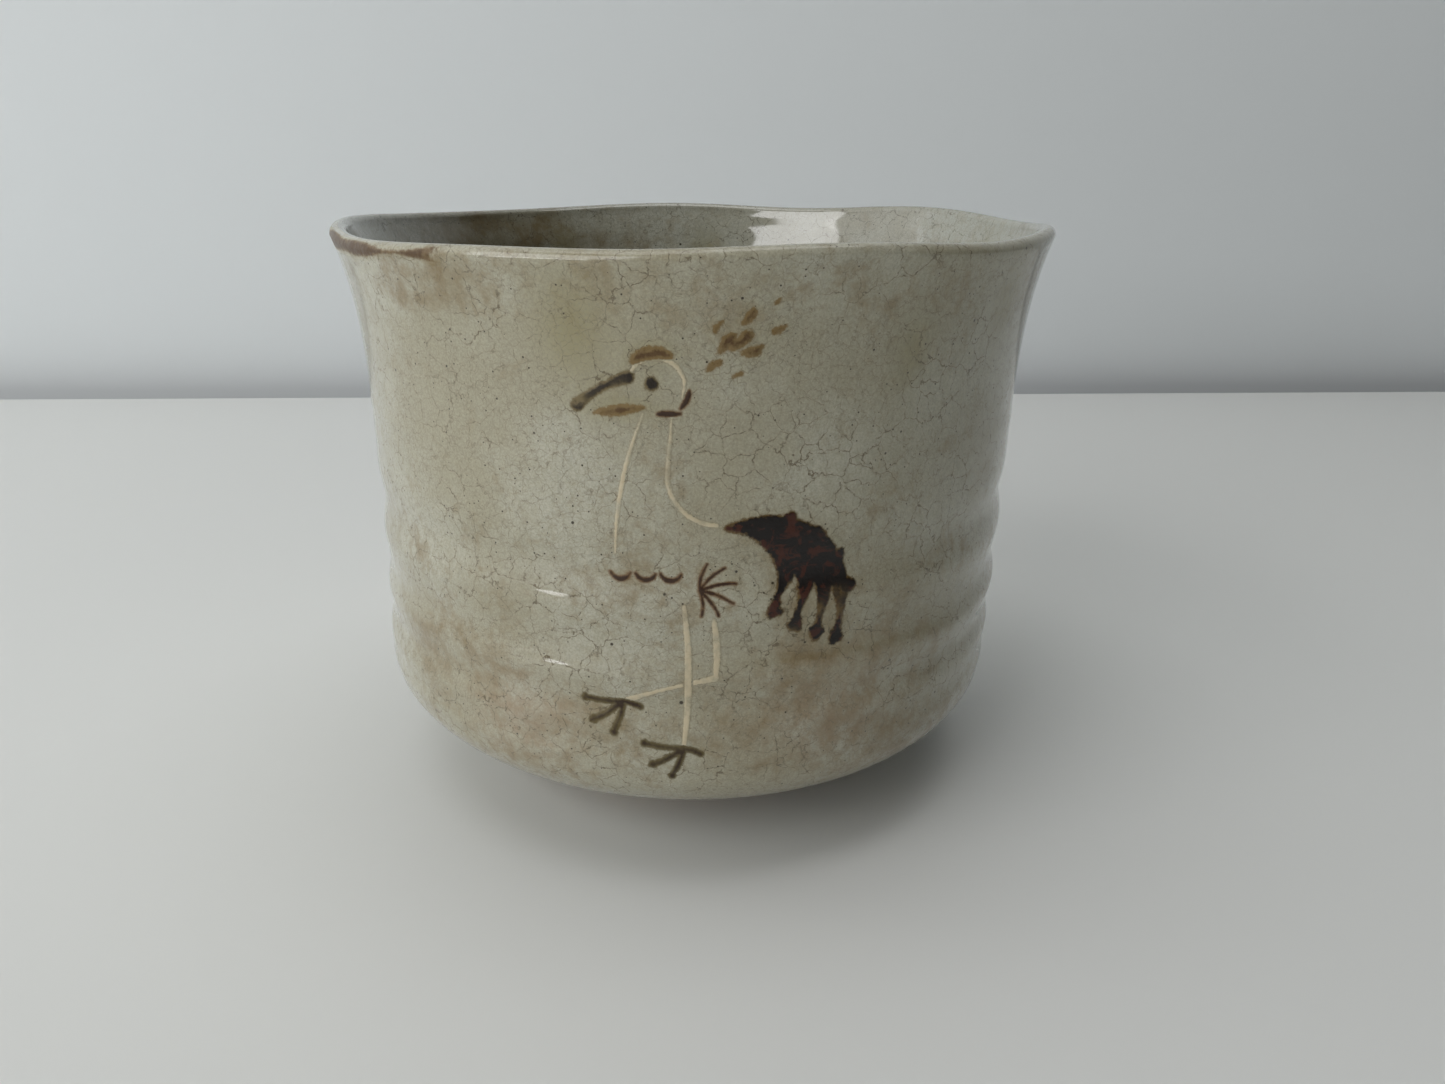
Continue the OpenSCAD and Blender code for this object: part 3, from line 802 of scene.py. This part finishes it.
def make_lip_line():
    """The iron line along the lip's outer edge. Its depth wavers, and it thins out past both ends."""
    places = np.array([v.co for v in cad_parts["rim_iron_line"].data.vertices])
    angles = np.mod(np.arctan2(places[:, 1], places[:, 0]), TAU)
    start, end = angles.min() - LINE_TAIL, angles.max() + LINE_HEAD
    reach, over = 1.4, 1.4
    turns = np.arange(start, end, STEP / RIM_R)
    theta, along = np.meshgrid(turns, np.arange(-reach, over, STEP), indexing="ij")

    def on_lip(theta, along, lift):
        turn = np.clip(along / (LIP_T / 2), 0, None)
        r = RIM_R - LIP_T / 2 + (LIP_T / 2 + lift) * np.cos(turn)
        z = LIP_Z + np.minimum(along, 0) + (LIP_T / 2 + lift) * np.sin(turn)
        r = np.where(along < 0, wall_radius(z) + lift, r)
        return thrown(theta, r, z)

    waver = 0.35 * np.sin(9 * theta) + 0.25 * np.sin(23 * theta + 1)
    ink = np.minimum(np.minimum(along + reach - 0.8 + waver, over - 0.6 - along + waver),
                     np.minimum(theta - start, end - theta) * RIM_R / 6 - 0.3)
    return film_piece("lip_line_film", on_lip, ink, cell_means(ink) > -0.6, theta, along, 0.01)


finish_piece(make_lip_line(), "rim_iron_line", rim_iron)


# ---------------------------------------------------------------- stage, light and camera

def plane(name, corners, colour, rough):
    mesh = bpy.data.meshes.new(name)
    mesh.from_pydata(corners, [], [(0, 1, 2, 3)])
    made = bpy.data.objects.new(name, mesh)
    bpy.context.scene.collection.objects.link(made)
    material, t, shader = new_material(name)
    shader.inputs["Base Color"].default_value = colour
    shader.inputs["Roughness"].default_value = rough
    mesh.materials.append(material)


BACK_LEFT_Y = 0.262
BACK_RIGHT_Y = 0.345
SLOPE = (BACK_RIGHT_Y - BACK_LEFT_Y) / 0.8
FAR = 3
GAP = 0.016
left_y, right_y = BACK_LEFT_Y - SLOPE * (FAR - 0.4), BACK_RIGHT_Y + SLOPE * (FAR - 0.4)
plane("floor", [(-FAR, -FAR, 0), (FAR, -FAR, 0), (FAR, right_y - GAP, 0), (-FAR, left_y - GAP, 0)],
      rgb(0.72, 0.73, 0.71), 0.55)
plane("backdrop", [(-FAR, left_y, -0.5), (FAR, right_y, -0.5), (FAR, right_y, FAR), (-FAR, left_y, FAR)],
      rgb(0.80, 0.835, 0.845), 0.8)


def area_light(name, azimuth, elevation, distance, width, height, power, colour=(1, 1, 1)):
    """A soft light in front of the bowl. azimuth is in degrees to the left of the camera's side."""
    data = bpy.data.lights.new(name, "AREA")
    data.shape = "RECTANGLE"
    data.size = width
    data.size_y = height
    data.energy = power
    data.color = colour
    made = bpy.data.objects.new(name, data)
    bpy.context.scene.collection.objects.link(made)
    a, e = math.radians(azimuth), math.radians(elevation)
    centre = Vector((0, 0, 0.05))
    way = Vector((-math.sin(a) * math.cos(e), -math.cos(a) * math.cos(e), math.sin(e)))
    made.location = centre + way * distance
    made.rotation_euler = way.to_track_quat("Z", "Y").to_euler()


WORLD_LEVEL = 0.02
area_light("window", 46, 30, 1.3, 1.0, 0.75, 7.5)
area_light("low_window", 46, 10, 1.3, 0.6, 0.13, 2.0)
area_light("ceiling", 150, 78, 1.6, 1.8, 1.8, 18)
area_light("left_wall", 108, 24, 1.2, 1.5, 1.3, 5.2)

world = bpy.data.worlds.new("room")
bpy.context.scene.world = world
world.use_nodes = True
world.node_tree.nodes["Background"].inputs[0].default_value = (0.95, 0.98, 1.0, 1)
world.node_tree.nodes["Background"].inputs[1].default_value = WORLD_LEVEL

# The camera stands in front and a little to the right of the axis, above the rim, and leans slightly.
CAMERA_PLACE = Vector((0.0051, -0.1794, 0.1012))
CAMERA_PITCH = math.radians(20.15)
CAMERA_ROLL = math.radians(0.96)
LENS_MM = 26.16
camera = bpy.data.objects.new("camera", bpy.data.cameras.new("camera"))
bpy.context.scene.collection.objects.link(camera)
camera.data.sensor_width = 36
camera.data.lens = LENS_MM
camera.data.clip_start = 0.01
right = Vector((1, 0, 0))
up = Vector((0, math.sin(CAMERA_PITCH), math.cos(CAMERA_PITCH)))
tilted_right = math.cos(CAMERA_ROLL) * right + math.sin(CAMERA_ROLL) * up
tilted_up = -math.sin(CAMERA_ROLL) * right + math.cos(CAMERA_ROLL) * up
back = tilted_right.cross(tilted_up)
turned = Matrix((tilted_right, tilted_up, back)).transposed().to_4x4()
camera.matrix_world = Matrix.Translation(CAMERA_PLACE) @ turned
bpy.context.scene.camera = camera
bpy.context.scene.view_settings.view_transform = "Standard"
